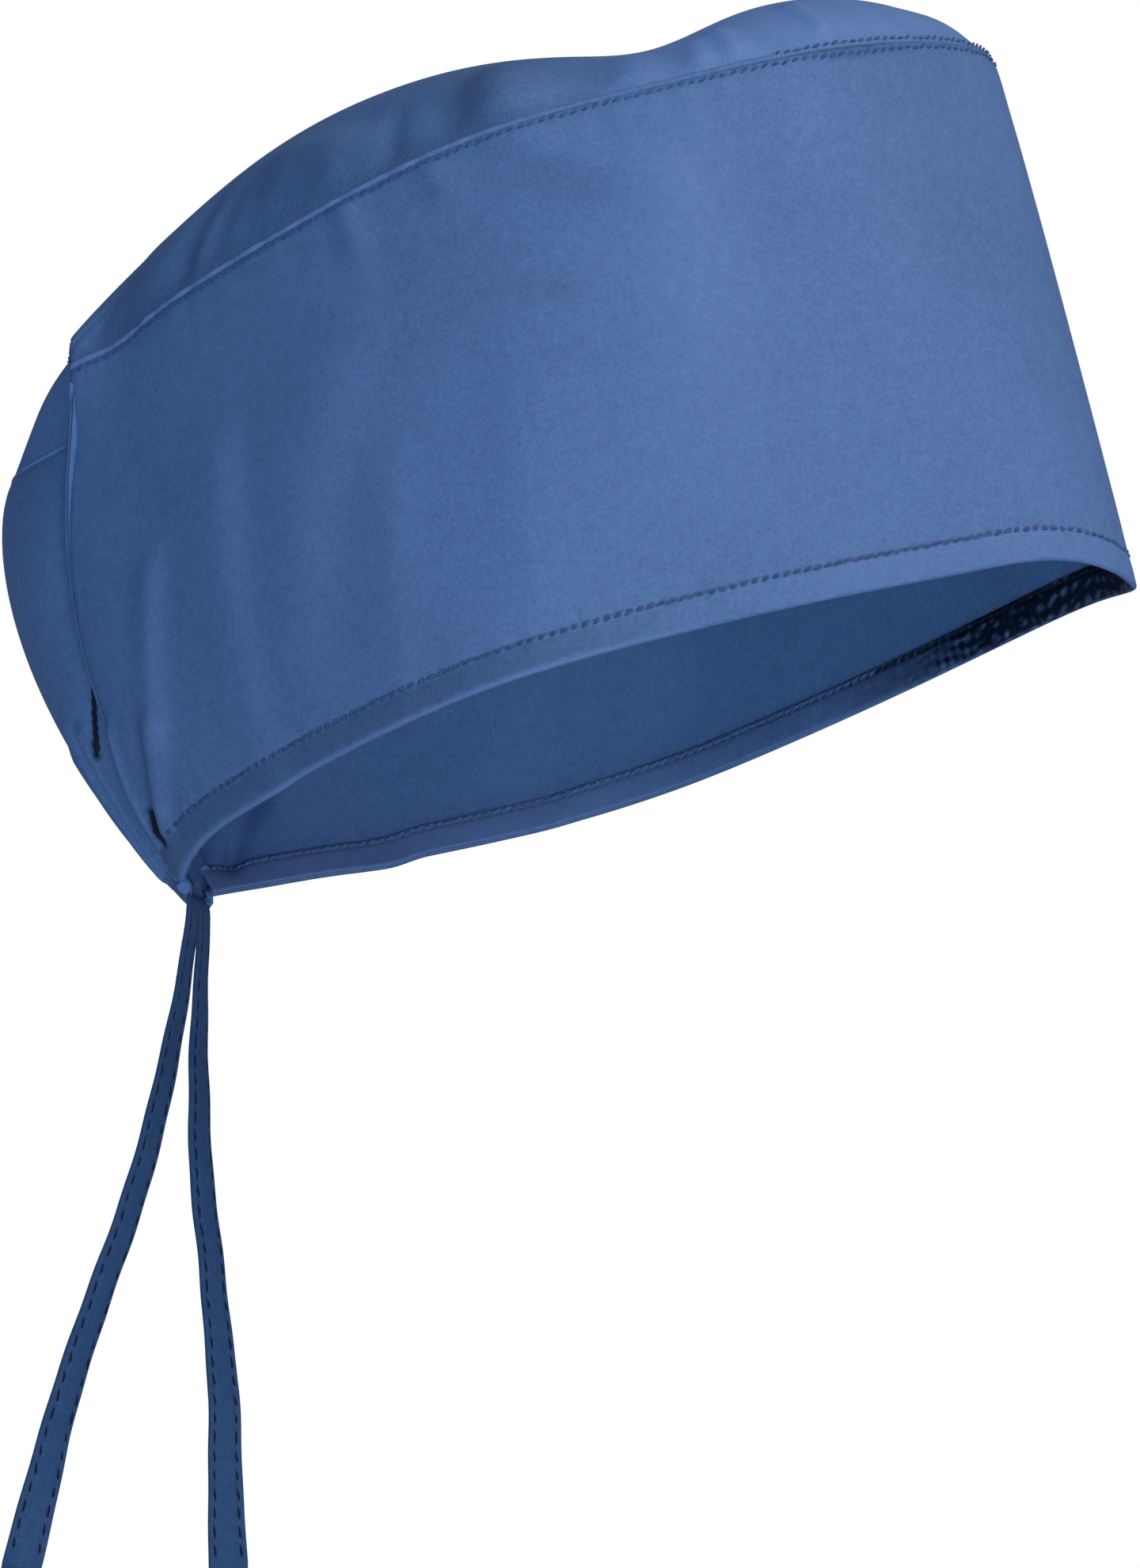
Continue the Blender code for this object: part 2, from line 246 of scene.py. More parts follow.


# %% [markdown]
# ## Cotton poplin
# The cap is one cloth all over: a fine, tight plain weave, dyed mid blue and washed matt. Close up, its
# threads cross over and under each other, some threads are thicker than others, and the dye takes a little
# unevenly. The weave follows the flat layout of the cloth, so it turns with each panel. The unevenness
# follows Object coordinates. Light and shade are also painted into the colour: painted highlights on edges
# that stand proud and on places turned to the light, and painted shade in folds, slits, creases and stitch
# dimples, which the pieces store as a number called shade. The band's wrong side is painted a little paler,
# a painted lightening of the shaded inside, and has none of those painted places. The ties are a darker blue.

# %% The cloth finish
THREAD_PITCH = 0.00042
SLUB_STRETCH = (60.0, 2400.0, 1.0)
STITCH_PITCH = 0.0024
DIMPLE_HALF_WIDTH = 0.0007
CLOTH_DEEP = (0.051, 0.116, 0.304, 1.0)
CLOTH_PALE = (0.090, 0.190, 0.454, 1.0)
# The wrong side's colours are the cloth's, painted paler so that the shaded inside of the band reads lighter:
# painted light.
WRONG_SIDE_DEEP = (0.053, 0.130, 0.342, 1.0)
WRONG_SIDE_PALE = (0.093, 0.212, 0.508, 1.0)
TAPE_DEEP = (0.014, 0.048, 0.146, 1.0)
TAPE_PALE = (0.029, 0.086, 0.230, 1.0)
# The next two colours are painted light: a painted highlight blue and a painted shade blue.
PAINTED_HIGHLIGHT_BLUE = (0.132, 0.255, 0.600, 1.0)
PAINTED_SHADE_BLUE = (0.003, 0.008, 0.026, 1.0)


def cloth(name, deep=CLOTH_DEEP, pale=CLOTH_PALE, gloss=0.12, stitched_at=(), shaded=1.0):
    """Plain weave: the product of two sine waves across the flat cloth, each one thread wide, with noise for
    slubs, fine grain and uneven dye. Each height in stitched_at gets a row of dimples, one to a stitch, bumped
    in and painted darker as painted shade. The shade number mixes in painted highlights and painted shade."""
    material, inputs, start = new_finish(name, roughness=0.58, gloss=gloss)
    place = start.add("ShaderNodeTexCoord", output=3)
    flat = start.add("ShaderNodeUVMap", {"uv_map": "flat"})
    across = start.add("ShaderNodeSeparateXYZ", (), {0: flat}, output=0)
    upward = start.add("ShaderNodeSeparateXYZ", (), {0: flat}, output=1)
    shade = start.add("ShaderNodeAttribute", {"attribute_name": "shade"}, output=2) * shaded

    turn = math.pi / THREAD_PITCH
    weave = (across * turn).sine() * (upward * turn).sine()
    threads = start.add("ShaderNodeVectorMath", {"operation": "MULTIPLY"}, {0: flat, 1: SLUB_STRETCH})
    slubs = threads.noise(1.0, 2.0)
    grain, mottle, patches = place.noise(1150.0, 3.0), place.noise(340.0, 2.0), place.noise(30.0, 3.0)

    dimples = 0.0
    for height in stitched_at:
        off_line = (upward - height) / DIMPLE_HALF_WIDTH
        along_row = (across * (2 * math.pi / STITCH_PITCH)).sine() * 0.5 + 0.5
        dimples = (1.0 - off_line * off_line).clamped() * along_row + dimples

    uneven = (patches - 0.5) * 0.45 + (mottle - 0.5) * 0.5 + (grain - 0.5) * 1.2 + (slubs - 0.5) * 0.4
    dyed = (uneven + 0.5).clamped().mixed(deep, pale)
    # Painted light: a positive shade mixes in the painted highlight colour; a negative shade and the stitch
    # dimples mix in the painted shade colour.
    highlighted = shade.clamped().mixed(dyed, PAINTED_HIGHLIGHT_BLUE)
    (dimples * 0.55 - shade).clamped().mixed(highlighted, PAINTED_SHADE_BLUE).feed(inputs["Base Color"])
    height = weave * 0.30 + grain * 0.55 + slubs * 0.35 - dimples * 1.2
    height.bump(0.6, 0.00014).feed(inputs["Normal"])
    return material


HEM_STITCH_HEIGHT = 0.0075
band_cloth = cloth("band_cloth", stitched_at=(HEM_STITCH_HEIGHT,))
# The band's inside face: a paler copy of the cloth, painted light, without the painted highlights and shade.
band_wrong_side_painted_paler = cloth("band_wrong_side_painted_paler", WRONG_SIDE_DEEP, WRONG_SIDE_PALE, shaded=0.0)
crown_cloth = cloth("crown_cloth")
hem_cloth = cloth("hem_cloth", stitched_at=(HEM_STITCH_HEIGHT,))
tape_cloth = cloth("tape_cloth", TAPE_DEEP, TAPE_PALE, gloss=0.10)
print("cloth finishes:", 5)

# %% [markdown]
# ## Sewing thread
# The seams are sewn with a polyester thread, painted darker than the cloth for the shade in its stitch
# holes. Two plies are twisted together, which shows as fine slanting ridges, so a slanted wave stands in for
# the twist, with bumps and painted shade between the plies. The thread is near black on the ties, and
# inside the forehead as painted shade; round the rest of the inside it is paler, a painted highlight.

# %% The thread finish
TWIST = (0.5, 0.6, 0.62)
TWISTS_A_METRE = 14000.0


def thread(name, dark, light):
    """A slanted sine wave across the thread's own coordinates for its two twisted plies: a bump, and painted
    shade between them.
    """
    material, inputs, start = new_finish(name, roughness=0.7, gloss=0.15)
    place = start.add("ShaderNodeTexCoord", output=3)
    slant = start.add("ShaderNodeVectorMath", {"operation": "DOT_PRODUCT"}, {0: place, 1: TWIST}, output=1)
    ply = (slant * TWISTS_A_METRE).sine() * 0.5 + 0.5
    ply.mixed((*dark, 1.0), (*light, 1.0)).feed(inputs["Base Color"])
    ply.bump(0.4, 0.00005).feed(inputs["Normal"])
    return material


# The first thread is painted darker than the cloth for the shade in its stitch holes, the third paler as a
# painted highlight.
dark_thread = thread("dark_thread", (0.026, 0.064, 0.190), (0.054, 0.122, 0.305))
tape_thread = thread("tape_thread", (0.002, 0.005, 0.016), (0.006, 0.014, 0.040))
painted_highlight_thread = thread("painted_highlight_thread", (0.050, 0.104, 0.240), (0.088, 0.165, 0.330))
print("thread finishes:", 3)

# %% [markdown]
# ## The ties
# Each tie is a strip of the cap's cloth, folded edge to edge and stitched down both sides, so it hangs as a
# flat tape about 9 mm wide. Both leave the gathered hem at the nape. They hang side to side at the top, where
# they are seen edge-on, and turn until their flat faces show at the ends. The route's points are the model's
# own, in metres. The surface is a folded tape's outline carried along that route.

# %% Tie routes
TIE_WIDTH = 0.009
TIE_THICKNESS = 0.0016
TIE_COLUMNS = ("out", "back", "down", "turn")
NEAR_TIE_ROUTE = (
    (0.0000, 0.0000, 0.000, -1), (0.0000, 0.0006, 0.007, -1), (0.0004, 0.0017, 0.017, 1),
    (0.0010, 0.0033, 0.027, 5), (0.0018, 0.0057, 0.040, 11), (0.0028, 0.0080, 0.053, 14),
    (0.0038, 0.0113, 0.066, 17), (0.0048, 0.0155, 0.080, 19), (0.0056, 0.0203, 0.094, 22),
    (0.0064, 0.0250, 0.108, 26), (0.0070, 0.0286, 0.121, 32), (0.0074, 0.0323, 0.135, 46),
    (0.0076, 0.0362, 0.151, 62),
)
FAR_TIE_ROUTE = (
    (0.0000, 0.0000, 0.000, -1), (0.0000, 0.0004, 0.007, -1), (0.0002, 0.0006, 0.017, 1),
    (0.0006, 0.0008, 0.027, 6), (0.0012, 0.0009, 0.040, 12), (0.0018, 0.0006, 0.053, 16),
    (0.0024, -0.0002, 0.066, 20), (0.0030, -0.0015, 0.080, 22), (0.0034, -0.0028, 0.094, 26),
    (0.0038, -0.0039, 0.108, 33), (0.0040, -0.0044, 0.121, 38), (0.0042, -0.0048, 0.135, 46),
    (0.0044, -0.0056, 0.151, 64),
)
NEAR_TIE_PHASE, FAR_TIE_PHASE = 0.4, 2.1
TIE_EXIT_SIDE = 0.0049
TIE_EXIT_FORE = 0.0035
TIE_EXIT_LIFT = -0.0030
RIM_LENGTH = 0.224
RIM_TILT = math.radians(15.6)


def leaned(fore, side, lift):
    """The upright cap's three directions turned into X, Y and Z, leaned back by the rim's tilt."""
    return np.stack([-side, -fore * math.cos(RIM_TILT) + lift * math.sin(RIM_TILT),
                     fore * math.sin(RIM_TILT) + lift * math.cos(RIM_TILT)], axis=-1)


def tie_line(route, sign, spacing=0.0016):
    """Evenly spaced points on one smooth curve through the route, and the tape's turn at each."""
    columns = table(TIE_COLUMNS, route)
    moves = np.linalg.norm(np.diff([columns["out"], columns["back"], columns["down"]], axis=1), axis=0)
    length = np.concatenate([[0], np.cumsum(moves)])
    at = np.linspace(0, length[-1], int(round(length[-1] / spacing)) + 1)
    out, back, down, turn = (smooth_through(length, columns[name], at, flat_ends=False)
                             for name in TIE_COLUMNS)
    start = leaned(np.array(TIE_EXIT_FORE - RIM_LENGTH / 2), np.array(sign * TIE_EXIT_SIDE),
                   np.array(TIE_EXIT_LIFT))
    return start + np.stack([-sign * out, back, -down], axis=-1), np.radians(turn)


# %% Tape surface
TAPE_POINTS_ROUND = 40
TAPE_STITCH_LINE = 0.68


def tape_outline(around):
    """A folded tape's outline: a flat oval, rounded at its two long edges, with a groove where each row of
    stitches pulls the layers together. around goes from nought to a full turn."""
    across = np.sign(np.cos(around)) * np.abs(np.cos(around)) ** 0.55
    thick = np.sign(np.sin(around)) * np.abs(np.sin(around)) ** 0.62
    groove = 1 - 0.55 * bell(np.abs(across) - TAPE_STITCH_LINE, 0.085)
    return across * TIE_WIDTH / 2, thick * groove * TIE_THICKNESS / 2


def turned_directions(line, turn):
    """The tape's two cross directions at each point: side to side at the top, then turned about the line."""
    ahead = unit(np.gradient(line, axis=0))
    level = unit(np.array([1.0, 0.0, 0.0]) - ahead * ahead[:, :1])
    square = np.cross(ahead, level)
    across = level * np.cos(turn)[:, None] + square * np.sin(turn)[:, None]
    return across, np.cross(ahead, across)


def tape_softness(along, across, soft_phase):
    """How far the tape's middle layer lies off its line: a slow ripple, and a cup across the tape."""
    ripple = 0.00022 * np.sin(41 * along + soft_phase) * np.sin(13 * along + 2 * soft_phase)
    return ripple + 0.0005 * np.sin(7 * along + soft_phase) * (across / (TIE_WIDTH / 2)) ** 2


def tape_surface(line, turn, soft_phase):
    """The outline carried along the line, with soft faces and both ends rounded shut."""
    around = np.linspace(0, 2 * math.pi, TAPE_POINTS_ROUND + 1)[:-1]
    across, thick = tape_outline(around)
    along = np.arange(len(line)) / (len(line) - 1)
    end = np.clip(np.minimum(along, 1 - along) * (len(line) - 1) / 1.5, 0.0, 1.0)
    size = (0.12 + 0.88 * np.sqrt(end))[:, None]
    face = thick * size + tape_softness(along[:, None], across, soft_phase) * end[:, None]
    wide, square = turned_directions(line, turn)
    beside = (across * (0.94 + 0.06 * size))[..., None] * wide[:, None]
    return line[:, None] + beside + face[..., None] * square[:, None], along


def make_tie(name, route, sign, soft_phase):
    """A tape mesh with its two ends closed, and its flat layout for the weave."""
    line, turn = tie_line(route, sign)
    points, along = tape_surface(line, turn, soft_phase)
    rows, columns = points.shape[:2]
    faces, flat_faces = grid_faces(rows, columns, closed=True)
    length = np.linalg.norm(np.diff(line, axis=0), axis=1).sum()
    flat = np.stack(np.meshgrid(np.linspace(0, 2 * TIE_WIDTH, columns + 1), along * length), axis=-1)
    first = np.arange(columns)
    ends = [first.tolist(), (first[::-1] + (rows - 1) * columns).tolist()]
    tie = make_piece(name, points, faces[:, ::-1], tape_cloth, flat, flat_faces[:, ::-1])
    return close_ends(tie, ends), line, turn, length


def close_ends(piece, ends):
    """Adds a face over each open end and turns every face outwards."""
    shape = bmesh.new()
    shape.from_mesh(piece.data)
    shape.verts.ensure_lookup_table()
    caps = [shape.faces.new([shape.verts[i] for i in end]) for end in ends]
    for cap in caps:
        cap.smooth = True
    bmesh.ops.recalc_face_normals(shape, faces=shape.faces)
    shape.to_mesh(piece.data)
    shape.free()
    return piece


tie_right, near_line, near_turn, near_length = make_tie("tie_right_tape", NEAR_TIE_ROUTE, 1.0, NEAR_TIE_PHASE)
tie_left, far_line, far_turn, far_length = make_tie("tie_left_tape", FAR_TIE_ROUTE, -1.0, FAR_TIE_PHASE)
print("ties:", round(near_length, 4), "and", round(far_length, 4), "m long")

# %% [markdown]
# ## The band's shape
# The side band is one long strip that goes round the head. Half of it, from the middle of the front to the
# middle of the back, is a short table of shares, the same as the model's. Two deep pleats take the fullness
# in beside the back panel: the strip turns inwards under its own edge and comes out again further back.

# %% Sizes and the half strip
RIM_WIDTH = 0.154
BAND_HEIGHT = 0.124
BACK_BELLY = 0.015
SIDE_BELLY = 0.0085
SEAM_LENGTH = 0.238
SEAM_WIDTH = 0.153
SEAM_SETBACK = 0.0055
STRIP_COLUMNS = ("along", "rim_fore", "rim_side", "rim_lift", "seam_fore", "seam_side", "seam_lift",
                 "belly_fore", "belly_side", "belly_at")
STRIP_ROWS = (
    (0.000, 1.000, 0.000, 0.000, 1.000, 0.000, 1.008, 0.10, 0.00, 0.80),
    (0.035, 0.982, 0.150, 0.012, 0.983, 0.183, 1.005, 0.09, 0.06, 0.80),
    (0.080, 0.915, 0.305, 0.034, 0.924, 0.392, 1.000, 0.08, 0.18, 0.75),
    (0.170, 0.732, 0.490, 0.043, 0.761, 0.706, 0.989, 0.07, 0.41, 0.60),
    (0.285, 0.464, 0.712, 0.041, 0.500, 0.882, 0.984, 0.04, 0.59, 0.50),
    (0.405, 0.152, 0.906, 0.036, 0.189, 1.000, 0.981, 0.00, 0.71, 0.48),
    (0.520, -0.161, 0.994, 0.030, -0.088, 0.948, 0.968, -0.03, 0.82, 0.46),
    (0.635, -0.473, 0.851, 0.022, -0.357, 0.804, 0.945, -0.20, 0.94, 0.44),
    (0.745, -0.741, 0.584, 0.015, -0.592, 0.627, 0.918, -0.47, 1.00, 0.44),
    (0.815, -0.902, 0.338, 0.002, -0.710, 0.542, 0.900, -0.75, 1.00, 0.46),
    (0.855, -0.970, 0.150, -0.014, -0.769, 0.497, 0.889, -0.84, 1.00, 0.49),
    (0.890, -0.972, 0.118, -0.028, -0.702, 0.444, 0.831, -0.84, 0.82, 0.51),
    (0.925, -0.977, 0.086, -0.038, -0.811, 0.405, 0.786, -0.92, 0.71, 0.53),
    (0.962, -0.984, 0.046, -0.043, -0.937, 0.235, 0.794, -0.88, 0.35, 0.56),
    (1.000, -0.987, 0.000, -0.044, -1.000, 0.000, 0.802, -0.84, 0.00, 0.58),
)
STRIP = table(STRIP_COLUMNS, STRIP_ROWS)
PLEAT_OUTER_EDGE = 0.855
PLEAT_COMES_OUT = 0.925
PLEAT_OPENS_BELOW = 0.88


def strip(name, along):
    """One column of the half strip's table, read at shares of the half strip."""
    return smooth_through(STRIP["along"], STRIP[name], along, flat_ends=not name.endswith("_side"))


def belly(height, fullest):
    """A rise from nought at the rim and the seam to one where the band is fullest: a product of powers of the
    height and of what is left above it."""
    low = np.where(fullest < 0.5, fullest / (1 - fullest), 1.0)
    high = np.where(fullest < 0.5, 1.0, (1 - fullest) / fullest)
    return height**low * (1 - height) ** high / (fullest**low * (1 - fullest) ** high)


def seam_line(along):
    """Fore, side and lift of the seam between band and crown."""
    half, sign = np.abs(along), np.where(along < 0, -1.0, 1.0)
    return (strip("seam_fore", half) * SEAM_LENGTH / 2 - SEAM_SETBACK,
            sign * strip("seam_side", half) * SEAM_WIDTH / 2, strip("seam_lift", half) * BAND_HEIGHT)


def crown_edge(along):
    """The seam without the pleat's inner turn: the crown goes straight from its edge to the back panel."""
    half, sign = np.abs(along), np.where(along < 0, -1.0, 1.0)
    before, after = seam_line(np.full(1, PLEAT_OUTER_EDGE)), seam_line(np.full(1, PLEAT_COMES_OUT))
    share = ramp(half, PLEAT_OUTER_EDGE, PLEAT_COMES_OUT)
    inside = (half > PLEAT_OUTER_EDGE) & (half < PLEAT_COMES_OUT)
    fore, side, lift = (np.where(inside, b + (a - b) * share, e)
                        for b, a, e in zip(before, after, seam_line(half)))
    return fore, sign * side, lift


def plain_band(along, height):
    """The band with no folds: a straight line from rim to seam, pushed out by its belly. The pleat's inner
    turn comes out to the crown's edge at the top, where it is sewn in."""
    half, sign = np.abs(along), np.where(along < 0, -1.0, 1.0)
    full = belly(height, strip("belly_at", half))
    sewn_in = ramp(height, PLEAT_OPENS_BELOW, 1) ** 2
    seam = [loose + (sewn - loose) * sewn_in for loose, sewn in zip(seam_line(along), crown_edge(along))]
    rim = (strip("rim_fore", half) * RIM_LENGTH / 2, sign * strip("rim_side", half) * RIM_WIDTH / 2,
           strip("rim_lift", half) * BAND_HEIGHT)
    fore = rim[0] + (seam[0] - rim[0]) * height + strip("belly_fore", half) * BACK_BELLY * full
    side = rim[1] + (seam[1] - rim[1]) * height + sign * strip("belly_side", half) * SIDE_BELLY * full
    return leaned(fore, side, rim[2] + (seam[2] - rim[2]) * height)


print("band:", RIM_LENGTH, "by", RIM_WIDTH, "m at the rim,", BAND_HEIGHT, "m high")

# %% [markdown]
# ## Folds and puckers
# Worn cloth isn't smooth. It hangs in a few broad soft folds, it creases where a pleat or a gather pulls at
# it, and it puckers along every row of stitches. A fold is a line on the flat cloth with a width and a depth:
# the cloth moves out or in by the depth, less and less with distance from the line, as a bell curve falls.
# A bow bends the line, and a lean makes one flank of it steeper. Puckers are short ripples across a seam that
# die away from it.

# %% Fold and pucker functions
def folds_at(across, upward, folds):
    """The sum over the folds of depth times a bell curve of the distance to the fold's line, in metres.
    Each row gives the line's two ends, width and depth, and bow and lean where the fold has them."""
    total = np.zeros(np.broadcast(across, upward).shape)
    for row in folds:
        x0, y0, x1, y1, width, depth, bow, lean = (*row, 0.0, 0.0)[:8]
        length = math.hypot(x1 - x0, y1 - y0)
        ahead = ((across - x0) * (x1 - x0) + (upward - y0) * (y1 - y0)) / length
        beside = ((upward - y0) * (x1 - x0) - (across - x0) * (y1 - y0)) / length
        inside = np.clip(ahead, 0, length)
        share = inside / length
        off_line = beside - bow * 4 * share * (1 - share)
        wide = width * (1 + lean * np.tanh(off_line / width))
        total = total + depth * np.exp(-(off_line / wide) ** 2 - ((ahead - inside) / (1.5 * width)) ** 2)
    return total


def ripples(across, seed, shortest, longest):
    """An uneven wave between minus one and one: a sum of sines whose lengths lie between the two given."""
    random = np.random.default_rng(seed)
    lengths = random.uniform(shortest, longest, 6)
    phases = random.uniform(0, 2 * math.pi, 6)
    return sum(np.sin(2 * math.pi * across / size + phase) for size, phase in zip(lengths, phases)) / 3.2


# %% [markdown]
# ## The side band
# The band's cloth comes down the outside, turns under at the rim and goes a little way up the inside, where
# the hem is laid over it. So one surface runs from the seam down, round the fold and up again.

# %% Band relief
STRIP_HALF = 0.300
BAND_FOLDS = (
    (0.2050, 0.0720, 0.2130, 0.0080, 0.0085, 0.0020, 0, 0.5),
    (0.1760, 0.0820, 0.1930, 0.0400, 0.0130, 0.0019, 0.002, 0.4),
    (0.1340, 0.0640, 0.1410, 0.0240, 0.0100, 0.0010, 0, -0.3),
    (0.1660, 0.0520, 0.1760, 0.0100, 0.0065, 0.0008, 0, 0.3),
    (0.1180, 0.0860, 0.1600, 0.0900, 0.0065, 0.0014, 0.003, 0.2),
    (0.1220, 0.1220, 0.0960, 0.1010, 0.0055, 0.0013, 0.002),
    (0.0420, 0.1200, 0.0500, 0.0840, 0.0140, -0.0022),
    (0.0900, 0.1120, 0.0990, 0.0720, 0.0150, 0.0020, 0.002, 0.2),
    (0.0450, 0.0680, 0.0540, 0.0280, 0.0080, 0.0012),
    (0.1645, 0.1215, 0.1625, 0.1110, 0.0032, 0.0010),
    (0.1410, 0.1210, 0.1390, 0.1150, 0.0035, 0.0008),
    (0.2260, 0.0600, 0.2349, 0.0270, 0.0036, 0.0020, 0, 0.3),
    (0.2349, 0.0270, 0.2455, 0.0095, 0.0028, 0.0021, 0, 0.3),
    (0.2405, 0.0290, 0.2484, 0.0110, 0.0020, -0.0012),
    (0.2488, 0.0350, 0.2512, 0.0110, 0.0013, 0.0015),
    (0.2527, 0.0330, 0.2534, 0.0090, 0.0010, -0.0014),
    (0.2775, 0.0480, 0.2745, 0.0100, 0.0016, 0.0021),
    (0.2835, 0.0520, 0.2805, 0.0090, 0.0019, 0.0019),
    (0.2920, 0.0460, 0.2890, 0.0100, 0.0024, 0.0010),
    (0.2565, 0.1050, 0.2570, 0.0420, 0.0090, -0.0040),
)
# Painted light and shade on the band, as fold rows: dark rows are painted shadow in the pleat's slit, the gaps
# of the gathers and creases, and pale rows are painted highlights on the pleat's edge and on ridges.
BAND_SHADES = (
    (0.2680, 0.0640, 0.2754, 0.0425, 0.0006, -2.6),
    (0.2485, 0.0125, 0.2492, 0.0105, 0.0010, -2.0),
    (0.2492, 0.0105, 0.2504, 0.0076, 0.0007, -1.8),
    (0.2400, 0.0300, 0.2472, 0.0130, 0.0024, -0.16),
    (0.2290, 0.0440, 0.2335, 0.0270, 0.0020, 0.10),
    (0.2335, 0.0270, 0.2430, 0.0120, 0.0016, 0.14),
    (0.2486, 0.0330, 0.2510, 0.0110, 0.0006, 0.28),
    (0.2760, 0.0760, 0.2770, 0.0600, 0.0040, -0.10),
    (0.0930, 0.1000, 0.0970, 0.0450, 0.0140, 0.14),
    (0.2485, 0.1200, 0.2470, 0.0960, 0.0006, 0.20),
    (0.2470, 0.0960, 0.2484, 0.0640, 0.0006, 0.20),
    (0.0300, 0.1180, 0.0360, 0.0840, 0.0150, -0.09),
    (0.1180, 0.0830, 0.1520, 0.0840, 0.0050, -0.07, 0.002),
    (0.1080, 0.1040, 0.1160, 0.1080, 0.0050, -0.07),
)
HEM_PALE_UNTIL = 0.30
HEM_DEEP_FROM = 0.52
HEM_WAVES = (5, 0.004, 0.011)


def band_relief(along, height):
    """How far the cloth stands out from the plain band: folds, puckers at both seams, and the stitch line."""
    across, upward = along * STRIP_HALF, height * BAND_HEIGHT
    below_seam, above_stitches = BAND_HEIGHT - upward, upward - HEM_STITCH_HEIGHT
    folds = folds_at(np.abs(across), upward, BAND_FOLDS)
    grouped = 0.5 + 0.5 * ripples(across, 23, 0.050, 0.110)
    seam_pucker = 0.0004 * grouped * ripples(across, 3, 0.006, 0.026) * bell(below_seam - 0.003, 0.007)
    hem_pucker = 0.00022 * ripples(across, *HEM_WAVES) * bell(above_stitches, 0.0045)
    groove = -0.00022 * bell(above_stitches, 0.0008)
    hem_soft = 0.00010 * bell(upward - 0.0040, 0.0024)
    back = ramp(np.abs(along), 0.80, 0.90)
    held = ramp(below_seam, 0, 0.003)
    return (folds + (seam_pucker + hem_pucker) * (1 - 0.7 * back)) * held + groove + hem_soft


def band_shade(along, upward):
    """Painted light and shade above and below nought: painted highlight on the pleat's edge and ridges,
    painted shadow in the slit and creases, the doubled hem painted paler round the front and darker at the
    back, a painted highlight on its fold line, and painted shade under the seam."""
    half = np.abs(along)
    shade = folds_at(half * STRIP_HALF, upward, BAND_SHADES)
    rear = ramp(half, HEM_PALE_UNTIL, HEM_DEEP_FROM)
    hem = ramp(HEM_STITCH_HEIGHT - upward, 0.0004, 0.0010)
    fold_line = bell(upward - 0.0004, 0.0009) * ramp(half, 0.35, 0.50)
    seam = bell(BAND_HEIGHT - upward - 0.0012, 0.0009)
    return shade + (0.10 - 0.42 * rear) * hem + 0.90 * fold_line - 0.12 * seam


def hem_shade(along, upward):
    """Painted shade over the inside of the hem where the forehead edge turns under, in slanting blotches.
    Further back the doubled cloth is painted a little paler than the band, a painted lightening."""
    half, across = np.abs(along), along * STRIP_HALF
    blotches = ripples(across + 0.7 * upward, 31, 0.004, 0.012)
    blotches = blotches * ripples(across - 1.3 * upward, 37, 0.003, 0.010)
    return 0.40 * ramp(half, 0.40, 0.55) - ramp(-half, -0.36, -0.20) * (1 + 1.1 * blotches)


def outward(along, height, step=0.0008):
    """The unit direction square to the plain band, by differences, pointing out of the cap."""
    low, high = np.clip(height - step, 0, 1), np.clip(height + step, 0, 1)
    rising = plain_band(along, high) - plain_band(along, low)
    return unit(np.cross(rising, plain_band(along + step, height) - plain_band(along - step, height)))


def band_face(along, height, depth=0.0):
    """The band's cloth, or the face that lies a depth inside it."""
    off = (band_relief(along, height) - depth)[..., None]
    return plain_band(along, height) + off * outward(along, height)


# %% Band mesh
BAND_COLUMNS = 500
HEM_ROLL = 0.0007
HEM_ROLL_ROWS = 7
TURNED_UP = 0.0018
CLOTH_THICKNESS = 0.0007
CLOSE_FROM, CLOSE_TO, CLOSER = 0.79, 0.94, 3.4


def band_columns():
    """Places round the strip, closer together where the pleat and the gathers need them."""
    fine = np.linspace(-1, 1, 4001)
    half = np.abs(fine)
    close = ramp(half, CLOSE_FROM, CLOSE_FROM + 0.02) * ramp(-half, -CLOSE_TO, 0.02 - CLOSE_TO)
    count = np.concatenate([[0], np.cumsum(1 + (CLOSER - 1) * (close[1:] + close[:-1]) / 2)])
    return np.interp(np.linspace(0, count[-1], BAND_COLUMNS + 1), count, fine)


def band_rows():
    """Heights of the band's rows, from the seam down: closer together at the seam and near the hem."""
    near_seam = np.linspace(1.0, 0.93, 12)
    middle = np.linspace(0.93, 0.11, 48)[1:]
    near_hem = np.linspace(0.11, HEM_ROLL / BAND_HEIGHT, 24)[1:]
    return np.concatenate([near_seam, middle, near_hem])


